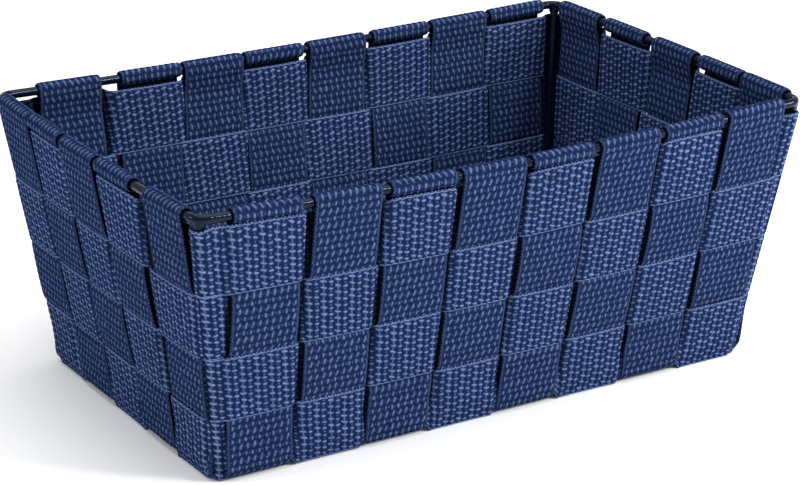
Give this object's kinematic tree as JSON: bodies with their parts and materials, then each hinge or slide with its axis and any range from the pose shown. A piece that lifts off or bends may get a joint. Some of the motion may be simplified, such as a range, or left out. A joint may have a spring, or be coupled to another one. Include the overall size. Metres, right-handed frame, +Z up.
{
  "type": "woven strap storage bin",
  "caption": "Open-topped tapered storage bin: webbing straps woven in a plain over-and-under pattern on a welded rectangular wire frame.",
  "frame": {"origin": "centre of the underside, on the surface that the bin stands on", "axes": "+X along the long sides, +Y from the front long side to the back one, +Z up out of the open mouth"},
  "size_m": [0.3848, 0.2514, 0.1562],
  "materials": {
    "coated_wire": "dark navy, nearly black, glossy powder coat on steel wire",
    "webbing": "navy blue polypropylene webbing, coarse plain weave with pale raised floats"
  },
  "bodies": {
    "root": {"rim_wire": "coated_wire", "base_wire": "coated_wire", "front_left_post": "coated_wire", "front_right_post": "coated_wire", "back_right_post": "coated_wire", "back_left_post": "coated_wire", "rim_welds": "coated_wire", "base_welds": "coated_wire", "front_back_strap_1": "webbing", "front_back_strap_2": "webbing", "front_back_strap_3": "webbing", "front_back_strap_4": "webbing", "front_back_strap_5": "webbing", "front_back_strap_6": "webbing", "front_back_strap_7": "webbing", "front_back_strap_8": "webbing", "left_right_strap_1": "webbing", "left_right_strap_2": "webbing", "left_right_strap_3": "webbing", "left_right_strap_4": "webbing", "left_right_strap_5": "webbing", "ring_strap_1": "webbing", "ring_strap_2": "webbing", "ring_strap_3": "webbing", "ring_strap_4": "webbing"}
  },
  "joints": []
}
